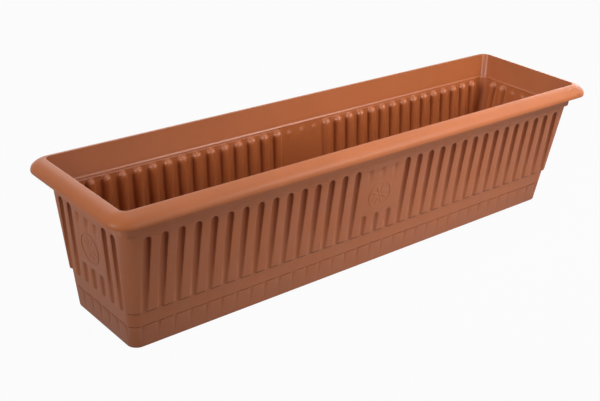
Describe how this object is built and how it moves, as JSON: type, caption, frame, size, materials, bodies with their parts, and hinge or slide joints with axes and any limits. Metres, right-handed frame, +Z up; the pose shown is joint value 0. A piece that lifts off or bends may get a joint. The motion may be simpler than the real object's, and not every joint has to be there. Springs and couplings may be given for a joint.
{
  "type": "window box planter",
  "caption": "Long tapered window box with fluted walls and a rolled rim, standing in a flush drip tray that it lifts out of.",
  "frame": {"origin": "middle of the drip tray's underside", "axes": "+Z up, +X along the length of the box, +Y towards its back long wall"},
  "size_m": [0.6, 0.157, 0.141],
  "materials": {
    "terracotta_plastic": "moulded terracotta plastic, satin on the rim and inside, matte outside",
    "tray_plastic": "matte moulded terracotta plastic"
  },
  "bodies": {
    "tray": {"drip_tray": "tray_plastic"},
    "trough": {"trough": "terracotta_plastic"}
  },
  "joints": [
    {"name": "trough_lift", "type": "slide", "parent": "tray", "child": "trough", "axis": [0, 0, 1], "range_m": [0, 0.06]}
  ]
}
